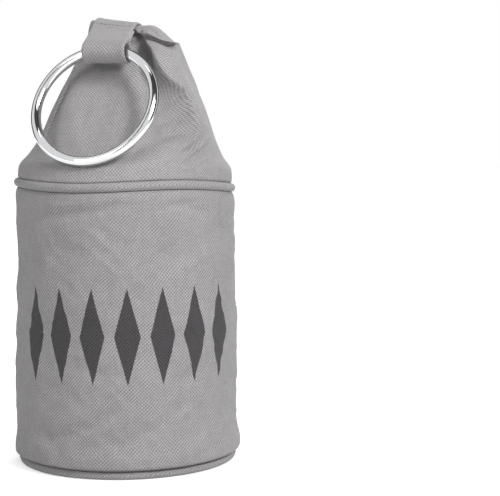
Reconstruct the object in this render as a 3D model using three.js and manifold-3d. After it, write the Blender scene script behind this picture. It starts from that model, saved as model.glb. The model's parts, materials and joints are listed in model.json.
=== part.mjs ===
// Weighted fabric door stop: a round canvas bag with corded seams, a hood that is pinched to a
// short ridge, and a chromed pull ring held in a folded canvas tab.
// Millimetres, +Z up. The origin is the middle of the base, on the floor, and the front faces -Y.
import * as THREE from 'three';
import { mergeVertices } from 'three/addons/utils/BufferGeometryUtils.js';
import Module from 'manifold-3d';

const wasm = await Module();
wasm.setup();

// Clearance that each piece keeps from its neighbours
const gap = 0.3;

// Filled body
const topRadius = 59.2;
const bodyRadius = 60.4;
const footBulge = 1.1;
const footBulgeHeight = 9;
const footBulgeSpread = 7;
const seamHeight = 149.8;
const bodyRoll = 8;
const lipRounding = 0.8;
const bodyRows = { sides: 13, crowding: 1.25 };
// Slack lumps of the filled bag: waves round it that also wind up its side
const lumpSize = 0.45;
const lumpWaves = [
  { turns: 2, rise: 31, start: 0.8, share: 1 },
  { turns: 3, rise: -24, start: 0, share: 0.8 },
];

// Wander of the upper seam round the bag. The rows of the hood follow it up to the fade height.
const seamLean = 0.9;
const seamRipple = 1.1;
const seamFadeHeight = 30;

// Corded piping and the base panel
const pipingRadius = 2.1;
const pipingInset = 1.6;
const footPipingInset = 3.2;
const baseThickness = 1.2;

// Hood. Its ridge is turned a little to the left, and lies nearer the right side of the bag.
const hoodTwist = THREE.MathUtils.degToRad(23.6);
const crestHeight = 76;
const crestHalfWidth = 25.6;
const crestHalfDepth = 11.5;
const hoodFootRadius = 59.6;
const puffSize = 2.1;
const puffHeight = 10;
const puffSpread = 4.6;
const ridgeRise = 13.4;
const ridgeHalfWidth = 23.4;
const ridgeHalfDepth = 1.6;
const ridgeShift = 5;
const ridgeShiftPower = 1.2;
const ridgeSlope = 0.15;
const ridgeFallStart = 13;
const ridgeFall = 0.026;
const ridgeRoundness = 0.9;
// The hood's section is round at its foot, and squarer from this share of its height up
const crestSquareness = 3.4;
const squareFrom = 0.3;
const hoodRows = { first: 1.6, sides: 17, crowding: 1.12, ridge: 5 };

// Soft hollows and folds in the hood's front: place along the ridge, height over the seam, depth, radius
const hollows = [
  { along: -3, height: 46, depth: 3.6, radius: 19 },
  { along: 33, height: 41, depth: 8, radius: 11.5 },
  { along: 34, height: 20, depth: 1.8, radius: 8 },
  { along: 3, height: 24, depth: 1.2, radius: 13 },
];
// The valley that runs down from the pinch beside the tab
const valley = { topAlong: 12.5, bottomAlong: 19, top: 84, bottom: 44, fade: 6, depth: 7, width: 4.5 };
// The pleat below the right half of the ridge
const pleat = { start: 13, blend: 3, height: 79.5, depth: 4.4, width: 2.6 };

// The folds fade out round the sides of the hood, and reach in no further than a share of its half depth
const foldFade = 1.6;
const foldLimit = 0.6;

// Tab
const clothThickness = 1.3;
const tabWidth = 23.6;
const tabTopAlong = -2.4;
const tabRingAlong = 1.2;
const tabTail = 15;
const tailShares = [1, 0.66, 0.33, 0.2, 0.1, 0.04];
const slopeStep = 0.3;
const loopForward = 27.2;
const loopDrop = 19.6;
const tabOverhang = 2.6;
const stitchDistance = 7;
// Added to the gap where the tab lies on the hood's slopes, and where the loop turns round the wire
const tabEase = 0.2;
const loopEase = 0.15;

// Ring
const ringRadius = 32.6;
const wireRadius = 2.6;
const smallestLean = 12;
const leanStep = 0.25;

// Mesh fineness
const bodySides = 56;
const hoodSides = 72;
const ringSides = 56;
const wireSides = 10;
const pipingSides = 8;
const loopSteps = 20;

const fullTurn = Math.PI * 2;
const canvasGrey = new THREE.Color(0.36, 0.35, 0.35);
const canvas = { color: canvasGrey, roughness: 0.92, metalness: 0 };
const chrome = { color: new THREE.Color(0.86, 0.87, 0.88), roughness: 0.08, metalness: 1 };

const smooth = (value) => THREE.MathUtils.smoothstep(value, 0, 1);
const hump = (offset, spread) => Math.exp(-((offset / spread) ** 2));

// A closed surface through rings of equally many points. Each end closes on a middle point, or,
// where no middle is given, on itself, from side to side across a narrow ridge.
function closedSurface(rings, bottomMiddle, topMiddle) {
  const sides = rings[0].length;
  const points = rings.flat();
  const faces = [];
  for (let row = 0; row < rings.length - 1; row++) {
    for (let side = 0; side < sides; side++) {
      const next = (side + 1) % sides;
      const a = row * sides + side;
      const b = row * sides + next;
      const c = (row + 1) * sides + next;
      const d = (row + 1) * sides + side;
      faces.push(a, b, c, a, c, d);
    }
  }
  const bottom = points.push(bottomMiddle) - 1;
  for (let side = 0; side < sides; side++) {
    faces.push(bottom, (side + 1) % sides, side);
  }
  const last = (rings.length - 1) * sides;
  if (topMiddle) {
    const top = points.push(topMiddle) - 1;
    for (let side = 0; side < sides; side++) {
      faces.push(top, last + side, last + ((side + 1) % sides));
    }
  } else {
    for (let side = 0; side < sides / 2; side++) {
      const a = last + side;
      const b = last + side + 1;
      const c = last + ((sides - side - 1) % sides);
      const d = last + ((sides - side) % sides);
      if (b !== c) faces.push(a, b, c);
      if (a !== d) faces.push(a, c, d);
    }
  }
  const geometry = new THREE.BufferGeometry().setFromPoints(points);
  geometry.setIndex(faces);
  return geometry;
}

// A closed tube round the bag, whose centre line is given by its radius and its height at each angle
function pipingTube(radius, heightAt) {
  const rings = [];
  for (let step = 0; step < pipingSides; step++) {
    const turn = (step / pipingSides) * fullTurn;
    const ring = [];
    for (let side = 0; side < bodySides; side++) {
      const angle = (side / bodySides) * fullTurn;
      const out = radius + pipingRadius * Math.cos(turn);
      const height = heightAt(angle) + pipingRadius * Math.sin(turn);
      ring.push(new THREE.Vector3(out * Math.cos(angle), out * Math.sin(angle), height));
    }
    rings.push(ring);
  }
  const points = rings.flat();
  const faces = [];
  for (let step = 0; step < pipingSides; step++) {
    const after = (step + 1) % pipingSides;
    for (let side = 0; side < bodySides; side++) {
      const next = (side + 1) % bodySides;
      const a = step * bodySides + side;
      const b = step * bodySides + next;
      const c = after * bodySides + next;
      const d = after * bodySides + side;
      faces.push(a, b, c, a, c, d);
    }
  }
  const geometry = new THREE.BufferGeometry().setFromPoints(points);
  geometry.setIndex(faces);
  return geometry;
}

// Height of the upper seam, over or under its level, at an angle round the bag
const seamWander = (angle) => -seamLean * Math.cos(angle) - seamRipple * Math.cos(3 * angle);
const seamPipingRadius = topRadius - pipingInset;
const footPipingRadius = bodyRadius - footPipingInset;
const footPipingHeight = pipingRadius + gap / 2;
// A groove for the cord turns its corner at this distance to the side and up, just clear of the cord
const cordClearance = pipingRadius + gap;
const grooveCorner = cordClearance * Math.SQRT1_2 * 1.05;

// Profile of the body's side: its radius at a height, with the slack lumps of a filled bag
function bodyRadiusAt(height, angle) {
  const share = THREE.MathUtils.clamp(height / seamHeight, 0, 1);
  const straight = bodyRadius + (topRadius - bodyRadius) * share ** 2;
  const foot = footBulge * hump(height - footBulgeHeight, footBulgeSpread);
  const middle = Math.sin(Math.PI * share);
  const slack = lumpWaves.reduce((sum, wave) => (
    sum + wave.share * Math.sin(wave.turns * angle + height / wave.rise + wave.start)), 0);
  return straight + foot + lumpSize * middle * slack;
}

function roundPoint(radius, angle, height) {
  return new THREE.Vector3(radius * Math.cos(angle), radius * Math.sin(angle), height);
}

function aroundTheBag(sides, pointAt) {
  return Array.from({ length: sides }, (_, side) => pointAt((side / sides) * fullTurn));
}

// The filled body: canvas sleeve and filling, one sealed solid, between its two corded seams
function filledBody() {
  const rings = [];
  const floor = baseThickness + gap;
  const grooveRadius = footPipingRadius - cordClearance;
  const grooveTop = footPipingHeight + cordClearance;
  rings.push(aroundTheBag(bodySides, (angle) => roundPoint(grooveRadius, angle, floor)));
  rings.push(aroundTheBag(bodySides, (angle) => roundPoint(grooveRadius, angle, footPipingHeight)));
  const cornerRadius = footPipingRadius - grooveCorner;
  const cornerHeight = footPipingHeight + grooveCorner;
  rings.push(aroundTheBag(bodySides, (angle) => roundPoint(cornerRadius, angle, cornerHeight)));
  rings.push(aroundTheBag(bodySides, (angle) => roundPoint(footPipingRadius, angle, grooveTop)));
  const lipHeight = grooveTop + lipRounding;
  const lipRadius = (angle) => bodyRadiusAt(lipHeight, angle) - lipRounding;
  rings.push(aroundTheBag(bodySides, (angle) => roundPoint(lipRadius(angle), angle, lipHeight)));
  const sideBottom = lipHeight + lipRounding;
  const sideTop = seamHeight - bodyRoll;
  for (let row = 0; row <= bodyRows.sides; row++) {
    const height = sideBottom + (sideTop - sideBottom) * (row / bodyRows.sides) ** bodyRows.crowding;
    rings.push(aroundTheBag(bodySides, (angle) => {
      const lift = seamWander(angle) * (height / seamHeight) ** 3;
      return roundPoint(bodyRadiusAt(height, angle), angle, height + lift);
    }));
  }
  const rollRows = 3;
  for (let row = 1; row <= rollRows; row++) {
    const share = row / rollRows;
    const height = seamHeight - cordClearance - (bodyRoll - cordClearance) * (1 - share);
    rings.push(aroundTheBag(bodySides, (angle) => {
      const side = bodyRadiusAt(sideTop, angle);
      const radius = side - (side - seamPipingRadius) * share ** 3;
      return roundPoint(radius, angle, height + seamWander(angle));
    }));
  }
  rings.push(aroundTheBag(bodySides, (angle) => (
    roundPoint(seamPipingRadius - grooveCorner, angle, seamHeight - grooveCorner + seamWander(angle)))));
  rings.push(aroundTheBag(bodySides, (angle) => (
    roundPoint(seamPipingRadius - cordClearance, angle, seamHeight - gap / 2 + seamWander(angle)))));
  const bottomMiddle = new THREE.Vector3(0, 0, floor);
  const topMiddle = new THREE.Vector3(0, 0, seamHeight - gap / 2);
  return closedSurface(rings, bottomMiddle, topMiddle);
}

function basePanel() {
  const radius = footPipingRadius - cordClearance;
  const panel = new THREE.CylinderGeometry(radius, radius, baseThickness, bodySides);
  panel.rotateX(Math.PI / 2);
  panel.translate(0, 0, baseThickness / 2);
  return panel;
}

// From the hood's own directions, along the ridge and back across it, to the part's
function fromRidge(along, back, height) {
  const cosine = Math.cos(hoodTwist);
  const sine = Math.sin(hoodTwist);
  return new THREE.Vector3(along * cosine + back * sine, back * cosine - along * sine, height);
}

// The hood's section at a height over the seam: half width along the ridge, half depth across it,
// how far it is shifted along the ridge, and how square it is
function hoodSection(height) {
  const share = height / crestHeight;
  const puff = puffSize * hump(height - puffHeight, puffSpread);
  return {
    halfWidth: hoodFootRadius + (crestHalfWidth - hoodFootRadius) * share + puff,
    halfDepth: hoodFootRadius + (crestHalfDepth - hoodFootRadius) * share + puff,
    shift: ridgeShift * share ** ridgeShiftPower,
    squareness: 2 + (crestSquareness - 2) * smooth((share - squareFrom) / (1 - squareFrom)),
  };
}

// How far the front of the hood is pushed in at a place along the ridge and a height over the seam
function frontPush(along, height) {
  let push = 0;
  for (const hollow of hollows) {
    const away = Math.hypot(along - hollow.along, height - hollow.height);
    push += hollow.depth * hump(away, hollow.radius);
  }
  const down = THREE.MathUtils.clamp((valley.top - height) / (valley.top - valley.bottom), 0, 1);
  const valleyAlong = valley.topAlong + (valley.bottomAlong - valley.topAlong) * down;
  const fade = smooth((valley.top - height) / valley.fade) * (1 - smooth(down));
  push += valley.depth * fade * hump(along - valleyAlong, valley.width);
  const pleatFade = smooth((along - pleat.start) / pleat.blend);
  push += pleat.depth * pleatFade * hump(height - pleat.height, pleat.width);
  return push;
}

// How far the ridge, and what lies on it, comes down at a place along it: it falls away to the right
function ridgeDrop(along, height) {
  const share = THREE.MathUtils.clamp((height - crestHeight) / ridgeRise, 0, 1);
  const fromLeft = along - (ridgeShift - ridgeHalfWidth);
  return share * (ridgeSlope * fromLeft + ridgeFall * Math.max(0, along - ridgeFallStart) ** 2);
}

function hoodPoint(section, angle, height, lift) {
  const power = 2 / section.squareness;
  const cosine = Math.cos(angle);
  const sine = Math.sin(angle);
  const along = section.shift + section.halfWidth * Math.sign(cosine) * Math.abs(cosine) ** power;
  let back = section.halfDepth * Math.sign(sine) * Math.abs(sine) ** power;
  const facing = smooth(-sine * foldFade);
  const push = Math.min(frontPush(along, height) * facing, section.halfDepth * foldLimit);
  if (back < 0) back = Math.min(back + push, 0);
  return fromRidge(along, back, seamHeight + height + lift - ridgeDrop(along, height));
}

// The hood: canvas top, from its corded seam to the pinched ridge, one closed soft solid
function hood() {
  const rings = [];
  const seamRing = (radius, height) => rings.push(aroundTheBag(hoodSides, (angle) => {
    const around = angle - hoodTwist;
    return roundPoint(radius, around, seamHeight + height + seamWander(around));
  }));
  seamRing(seamPipingRadius - cordClearance, gap / 2);
  seamRing(seamPipingRadius - grooveCorner, grooveCorner);
  seamRing(seamPipingRadius, cordClearance);
  const firstHeight = cordClearance + hoodRows.first;
  for (let row = 0; row <= hoodRows.sides; row++) {
    const climbed = (row / hoodRows.sides) ** hoodRows.crowding;
    const height = firstHeight + (crestHeight - firstHeight) * climbed;
    const section = hoodSection(height);
    const fade = 1 - smooth(height / seamFadeHeight);
    rings.push(aroundTheBag(hoodSides, (angle) => (
      hoodPoint(section, angle, height, fade * seamWander(angle - hoodTwist)))));
  }
  const crest = hoodSection(crestHeight);
  for (let row = 1; row <= hoodRows.ridge; row++) {
    const share = row / hoodRows.ridge;
    const height = crestHeight + ridgeRise * Math.sin(share * Math.PI / 2) ** ridgeRoundness;
    const section = {
      halfWidth: crest.halfWidth + (ridgeHalfWidth - crest.halfWidth) * share,
      halfDepth: crest.halfDepth + (ridgeHalfDepth - crest.halfDepth) * share,
      shift: crest.shift,
      squareness: crest.squareness,
    };
    rings.push(aroundTheBag(hoodSides, (angle) => hoodPoint(section, angle, height, 0)));
  }
  return closedSurface(rings, new THREE.Vector3(0, 0, seamHeight + gap / 2));
}

// Half depth of the hood where the tab lies on it, at a height over the seam, with no hollows
function hoodHalfDepthAt(height) {
  if (height <= crestHeight) return hoodSection(height).halfDepth;
  const rise = Math.min(1, (height - crestHeight) / ridgeRise);
  const share = Math.asin(rise ** (1 / ridgeRoundness)) / (Math.PI / 2);
  return crestHalfDepth + (ridgeHalfDepth - crestHalfDepth) * share;
}

// The tab's loop turns round this line, which is also the line that the ring swings on
const ridgeTop = crestHeight + ridgeRise;
const wireInside = Math.sqrt((ringRadius - wireRadius) ** 2 - (tabWidth / 2) ** 2);
const axisDrop = (ringRadius - wireInside - wireRadius) / 2;
const loopInside = axisDrop + wireRadius + gap + loopEase;
const loopMiddle = loopInside + clothThickness / 2;
const loopOutside = loopInside + clothThickness;
const loopCentre = new THREE.Vector2(-loopForward, ridgeTop - loopDrop);

// Outline of a band of cloth that follows a line of points, in the plane across the ridge
function bandOutline(line) {
  const left = [];
  const right = [];
  line.forEach((point, index) => {
    const before = line[Math.max(0, index - 1)];
    const after = line[Math.min(line.length - 1, index + 1)];
    const run = after.clone().sub(before).normalize();
    const side = new THREE.Vector2(-run.y, run.x).multiplyScalar(clothThickness / 2);
    left.push(point.clone().add(side));
    right.unshift(point.clone().sub(side));
  });
  return new THREE.Shape([...left, ...right]);
}

function manifoldOf(geometry) {
  const bare = geometry.clone();
  bare.deleteAttribute('normal');
  bare.deleteAttribute('uv');
  const merged = mergeVertices(bare, 1e-4);
  return new wasm.Manifold(new wasm.Mesh({
    numProp: 3,
    vertProperties: new Float32Array(merged.attributes.position.array),
    triVerts: new Uint32Array(merged.index.array),
  }));
}

function geometryOf(solid) {
  const mesh = solid.getMesh();
  const geometry = new THREE.BufferGeometry();
  geometry.setAttribute('position', new THREE.BufferAttribute(mesh.vertProperties, 3));
  geometry.setIndex(new THREE.BufferAttribute(mesh.triVerts, 1));
  return geometry;
}

// A band of cloth as wide as the tab, leaned sideways on its way down to the ring
function tabBand(line) {
  const band = new THREE.ExtrudeGeometry(bandOutline(line), { depth: tabWidth, bevelEnabled: false });
  const corner = band.attributes.position;
  for (let index = 0; index < corner.count; index++) {
    const back = corner.getX(index);
    const height = corner.getY(index);
    const along = corner.getZ(index) - tabWidth / 2;
    const down = THREE.MathUtils.clamp((ridgeTop - height) / (loopDrop - loopOutside), 0, 1);
    const middle = back < 0 ? tabTopAlong + (tabRingAlong - tabTopAlong) * down : tabTopAlong;
    const top = seamHeight + height - ridgeDrop(along + middle, height);
    const place = fromRidge(along + middle, back, top);
    corner.setXYZ(index, place.x, place.y, place.z);
  }
  return manifoldOf(band);
}

// A point of the tab's loop round the ring's line
function loopPoint(angle) {
  const arm = new THREE.Vector2(Math.cos(angle), Math.sin(angle)).multiplyScalar(loopMiddle);
  return loopCentre.clone().add(arm);
}

// The tab: one strap, sewn to the back of the hood, over the ridge, round the ring and back up
// under itself to a line of stitches
function ringTab() {
  const lie = gap + tabEase + clothThickness / 2;
  const topHeight = ridgeTop + lie;
  const tailPoints = tailShares.map((share) => {
    const height = ridgeTop - tabTail * share;
    const step = slopeStep;
    const slope = (hoodHalfDepthAt(height - step) - hoodHalfDepthAt(height + step)) / (2 * step);
    const outward = new THREE.Vector2(1, slope).setLength(lie);
    return new THREE.Vector2(hoodHalfDepthAt(height), height).add(outward);
  });
  const ridgeEdge = new THREE.Vector2(-ridgeHalfDepth - tabOverhang, topHeight);
  const overRidge = [new THREE.Vector2(ridgeHalfDepth, topHeight), ridgeEdge];
  const toRidge = ridgeEdge.clone().sub(loopCentre);
  const turn = Math.acos(loopMiddle / toRidge.length());
  const frontAngle = toRidge.angle() + turn;
  const frontLayerEnd = loopPoint(frontAngle);
  const stitchShare = stitchDistance / ridgeEdge.distanceTo(frontLayerEnd);
  const stitch = ridgeEdge.clone().lerp(frontLayerEnd, stitchShare);
  const toStitch = stitch.clone().sub(loopCentre);
  const backAngle = toStitch.angle() - Math.acos(loopMiddle / toStitch.length()) + fullTurn;
  const arc = Array.from({ length: loopSteps + 1 }, (_, step) => (
    loopPoint(frontAngle + (backAngle - frontAngle) * (step / loopSteps))));
  const strap = tabBand([...tailPoints, ...overRidge, ...arc]);
  const returnLayer = tabBand([...arc.slice(-2), stitch]);
  return geometryOf(strap.add(returnLayer));
}

// The ring leans back on the hood: the smallest lean at which its wire clears the canvas
function ringLean(hoodGeometry) {
  hoodGeometry.computeVertexNormals();
  const corner = hoodGeometry.attributes.position;
  const normal = hoodGeometry.attributes.normal;
  const clearance = (lean) => {
    let least = Infinity;
    for (let side = 0; side < ringSides; side++) {
      const centre = ringPoint(lean, (side / ringSides) * fullTurn);
      let nearest = Infinity;
      let height = Infinity;
      for (let index = 0; index < corner.count; index++) {
        const arm = centre.clone().sub(new THREE.Vector3().fromBufferAttribute(corner, index));
        const away = arm.lengthSq();
        if (away < nearest) {
          nearest = away;
          height = arm.dot(new THREE.Vector3().fromBufferAttribute(normal, index));
        }
      }
      least = Math.min(least, height - wireRadius);
    }
    return least;
  };
  let lean = smallestLean;
  while (clearance(THREE.MathUtils.degToRad(lean)) < gap && lean < 90) lean += leanStep;
  return THREE.MathUtils.degToRad(lean);
}

// A point of the ring's centre line, for a lean from the vertical and an angle round the ring
function ringPoint(lean, angle) {
  const down = ringRadius - axisDrop + ringRadius * Math.cos(angle);
  return fromRidge(
    tabRingAlong + ringRadius * Math.sin(angle),
    loopCentre.x - down * Math.sin(lean),
    seamHeight + loopCentre.y - down * Math.cos(lean),
  );
}

function pullRing(lean) {
  const ring = new THREE.TorusGeometry(ringRadius, wireRadius, wireSides, ringSides);
  ring.translate(0, axisDrop - ringRadius, 0);
  ring.rotateX(Math.PI / 2 - lean);
  ring.rotateZ(-hoodTwist);
  const swing = fromRidge(tabRingAlong, loopCentre.x, seamHeight + loopCentre.y);
  ring.translate(swing.x, swing.y, swing.z);
  return ring;
}

const doorStop = new THREE.Group();

function addPiece(name, geometry, finish) {
  const mesh = new THREE.Mesh(geometry, new THREE.MeshStandardMaterial(finish));
  mesh.name = name;
  doorStop.add(mesh);
}

const hoodShape = hood();
addPiece('filled_body', filledBody(), canvas);
addPiece('base_panel', basePanel(), canvas);
addPiece('lower_piping', pipingTube(footPipingRadius, () => footPipingHeight), canvas);
addPiece('upper_piping', pipingTube(seamPipingRadius, (angle) => seamHeight + seamWander(angle)), canvas);
addPiece('hood', hoodShape, canvas);
addPiece('ring_tab', ringTab(), canvas);
addPiece('ring', pullRing(ringLean(hoodShape)), chrome);

export default doorStop;
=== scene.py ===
# Weighted fabric door stop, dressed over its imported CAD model: a filled canvas sleeve between two
# corded seams, a padded hood that is pinched to a short ridge, and a chromed ring in a canvas tab.
import json
import math
from functools import partial

import bpy
import numpy as np
from mathutils import Matrix, Vector, noise


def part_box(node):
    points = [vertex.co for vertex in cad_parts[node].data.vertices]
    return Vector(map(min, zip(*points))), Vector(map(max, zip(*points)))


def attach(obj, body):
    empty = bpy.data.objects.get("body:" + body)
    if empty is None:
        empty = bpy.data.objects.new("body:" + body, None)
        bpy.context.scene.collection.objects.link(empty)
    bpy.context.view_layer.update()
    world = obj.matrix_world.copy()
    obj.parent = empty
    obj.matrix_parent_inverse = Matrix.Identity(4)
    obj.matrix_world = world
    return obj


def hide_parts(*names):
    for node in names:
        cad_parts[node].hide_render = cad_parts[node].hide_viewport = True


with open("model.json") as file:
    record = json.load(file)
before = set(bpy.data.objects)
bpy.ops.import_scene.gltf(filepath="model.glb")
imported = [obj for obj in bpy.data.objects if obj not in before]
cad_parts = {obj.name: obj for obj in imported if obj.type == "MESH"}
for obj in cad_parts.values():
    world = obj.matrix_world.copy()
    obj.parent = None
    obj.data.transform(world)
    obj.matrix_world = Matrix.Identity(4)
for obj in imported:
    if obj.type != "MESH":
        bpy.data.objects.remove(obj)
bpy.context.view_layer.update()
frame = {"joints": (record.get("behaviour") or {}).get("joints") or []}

bl_info = {
    "name": "Weighted Fabric Door Stop",
    "version": (1, 0, 0),
    "blender": (4, 5, 0),
    "location": "View3D > Sidebar > Door Stop",
    "description": "Builds a weighted canvas door stop with corded seams, a pinched hood and a pull ring",
    "category": "Add Mesh",
}

MM = 0.001

# Sizes of the CAD part that the cloth follows, in millimetres
GAP = 0.3
TOP_RADIUS = 59.2
BODY_RADIUS = 60.4
FOOT_BULGE = 1.1
FOOT_BULGE_HEIGHT = 9.0
FOOT_BULGE_SPREAD = 7.0
SEAM_HEIGHT = 149.8
BODY_ROLL = 8.0
SEAM_LEAN = 0.9
SEAM_RIPPLE = 1.1
CORD_RADIUS = 2.1
TOP_CORD_RADIUS = CORD_RADIUS + 0.25
TOP_CORD_LINE = TOP_RADIUS - 1.6
FOOT_CORD_LINE = BODY_RADIUS - 3.2
FOOT_CORD_HEIGHT = CORD_RADIUS + GAP / 2
HOOD_TWIST = math.radians(23.6)
CREST_HEIGHT = 76.0
CREST_HALF_WIDTH = 25.6
CREST_HALF_DEPTH = 11.5
HOOD_FOOT_RADIUS = 59.6
PUFF = 2.1
PUFF_HEIGHT = 10.0
PUFF_SPREAD = 4.6
RIDGE_RISE = 13.4
RIDGE_HALF_WIDTH = 23.4
RIDGE_HALF_DEPTH = 1.6
RIDGE_SHIFT = 5.0
RIDGE_SLOPE = 0.15
RIDGE_FALL_START = 13.0
RIDGE_FALL = 0.026
# the cloth of the pleat rises a little over the ridge of the CAD part, right of the tab
RIDGE_SWELL = 1.6
RIDGE_SWELL_ALONG = 19.0
RIDGE_SWELL_SPREAD = 6.0
CREST_SQUARENESS = 3.4
CLOTH = 1.3
TAB_WIDTH = 23.6
TAB_TOP_ALONG = -2.4
TAB_RING_ALONG = 1.2
TAB_TAIL = 15.0
# the tab's two layers lie together down to this far over the loop
TAB_NECK = 4.0
# the ring pulls the tab's loop a little to the right, which turns it and spreads its cloth
TAB_PULL = 1.0
TAB_TILT = 0.02
TAB_FLARE = 0.03
LOOP_FORWARD = 27.2
LOOP_DROP = 19.6
TAB_OVERHANG = 2.6
STITCH_DISTANCE = 7.0
# the loop stands a little further off the wire than in the CAD part, so that the ring can swing
LOOP_EASE = 0.45
RING_RADIUS = 32.6
WIRE_RADIUS = 2.6
RIDGE_TOP = CREST_HEIGHT + RIDGE_RISE

# How finely the cloth is laid out, and its steps in millimetres
COLUMNS = 288
SIDE_BOTTOM = 5.9
SIDE_ROWS = 116
ROLL_ROWS = 12
HOOD_ROWS = 96
RIDGE_ROWS = 26
CORD_SIDES = 20
OUTLINE_STEPS = 1440
TAB_STEP = 0.5
TAB_STEPS_ACROSS = 30
LOOP_STEPS = 28
# the cloth lies this far off a cord
CORD_EASE = 0.12
# edges of cloth that are closer than this are joined
SEAM_JOIN = 0.02
FINE_JOIN = 0.01
FLAT_JOIN = 0.001
SETTLE_FRAMES = 12

# Even unevenness of the cloth: each layer's width in millimetres, its share and its seed
SLEEVE_LUMPS = ((42, 1.0, 1), (19, 0.5, 2))
HOOD_LUMPS = ((26, 0.8, 4), (11, 0.4, 5))
TAB_WAVES = ((8, 0.22, 9), (3.5, 0.12, 10))
BODY_LUMP = 0.45
CORD_GATHER = 0.10
HOOD_GATHER = 0.35

# The base panel, in millimetres: its rings of cloth, its thickness, and how its edge rises in the seam
BASE_INSETS = (0.8, 1.6, 4, 8, 8, 8, 8)
BASE_THICKNESS = 0.6
BASE_EDGE_RISE = 0.55
BASE_EDGE_WIDTH = 2.6
BASE_WAVE = 0.06

# The ridge closes along this power of a quarter sine
RIDGE_CURVE = 0.9

# Stitches, in millimetres, and how deep a row presses the tab's cloth
STITCH_PRESS = 0.28
STITCH_PRESS_SPREAD = 0.7
STITCH_SINK = 0.12
STITCH_PITCH = 2.35
STITCH_RADIUS = 0.19
STITCH_STRETCH = 5.2
STITCH_SAG = 0.10
STITCH_MARGIN = 2.4
# the tab's second row of stitches is this many steps from its back end
BACK_ROW = 14

# The stage, in metres: the dark boards face the middle of the hanging ring, the lamps face the stop
RING_VIEW = (0, -0.03, 0.19)
LAMP_AIM = (0, 0, 0.12)
FLOOR_SIZE = 30
FLOOR_TONE = 0.75
WHITE = (1, 1, 1, 1)
BOARD_BLACK = (0.012, 0.012, 0.014, 1)


# Settings


def colour_setting(name, description, default):
    return bpy.props.FloatVectorProperty(
        name=name, description=description, subtype="COLOR", size=3, min=0, max=1, default=default)


def length_setting(name, description, default, low, high):
    return bpy.props.FloatProperty(
        name=name, description=description, subtype="DISTANCE", unit="LENGTH",
        min=low, max=high, default=default)


def power_setting(name, description, default):
    return bpy.props.FloatProperty(
        name=name, description=description, subtype="POWER", unit="POWER", min=0, max=200, default=default)


class ClothSettings(bpy.types.PropertyGroup):
    colour: colour_setting("Canvas colour", "Colour of the grey canvas", (0.345, 0.335, 0.340))
    print_colour: colour_setting("Print colour", "Colour of the printed lozenges", (0.060, 0.057, 0.060))
    thread_pitch: length_setting(
        "Thread pitch", "Distance from one thread to the next", 0.0009, 0.0001, 0.005)
    slack: length_setting(
        "Slack", "Height of the soft lumps and creases in the sleeve", 0.0009, 0, 0.003)
    pucker: length_setting(
        "Pucker", "Height of the gathers beside the corded seams", 0.00035, 0, 0.002)


class RingSettings(bpy.types.PropertyGroup):
    colour: colour_setting("Chrome colour", "Colour of the ring's plating", (0.66, 0.665, 0.675))
    roughness: bpy.props.FloatProperty(
        name="Roughness", description="How dull the ring's plating is",
        subtype="FACTOR", min=0, max=1, default=0.07)


class StageSettings(bpy.types.PropertyGroup):
    key_power: power_setting("Key light", "Power of the large lamp above and to the right", 23.0)
    fill_power: power_setting("Fill light", "Power of the large lamp at the left", 8.8)
    top_power: power_setting("Top light", "Power of the large lamp overhead", 4.0)
    back_power: power_setting("Back light", "Power of the large lamp behind the stop", 28.0)
    sky: bpy.props.FloatProperty(
        name="Room light", description="Strength of the even light from the white room",
        min=0, max=2, default=0.15)


# Shapes shared by the pieces


def within(value):
    """The value, kept from 0 to 1."""
    return min(1.0, max(0.0, value))


def smooth(value):
    value = within(value)
    return value * value * (3 - 2 * value)


def hump(offset, spread):
    return math.exp(-((offset / spread) ** 2))


def soft_noise(place, scale, seed):
    """Even noise from -1 to 1 at a place given in millimetres."""
    shifted = Vector(place) / scale + Vector((seed * 7.3, seed * 3.1, seed * 5.7))
    return noise.noise(shifted)


def soft_layers(place, layers):
    return sum(share * soft_noise(place, width, seed) for width, share, seed in layers)


def seam_wander(angle):
    """How far the upper seam rises or falls at an angle."""
    return -SEAM_LEAN * math.cos(angle) - SEAM_RIPPLE * math.cos(3 * angle)


def turn_at(column, columns=COLUMNS):
    """A column's angle. The cloth starts and ends at the back, and its middle is at the front."""
    return math.pi / 2 + 2 * math.pi * column / columns


def lengths_round(radius):
    """How far round from the middle of the front each column lies."""
    return (np.arange(COLUMNS + 1) / COLUMNS - 0.5) * 2 * math.pi * radius


def around(angle, radius, height):
    return (radius * math.cos(angle), radius * math.sin(angle), height)


def round_row(radius, height, follow=0.0, twist=0.0):
    """A row of places once round. follow is 1 where it rises and falls with the upper seam."""
    angles = [turn_at(column) - twist for column in range(COLUMNS + 1)]
    return [around(angle, radius, height + follow * seam_wander(angle)) for angle in angles]


def from_ridge(along, back, height):
    """A place given along the hood's ridge and back across it, in the part's directions."""
    cosine = math.cos(HOOD_TWIST)
    sine = math.sin(HOOD_TWIST)
    return Vector((along * cosine + back * sine, back * cosine - along * sine, height))


def name_new(name):
    """Names the object that was just added, and its mesh."""
    piece = bpy.context.object
    piece.name = name
    piece.data.name = name
    return piece


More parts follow.
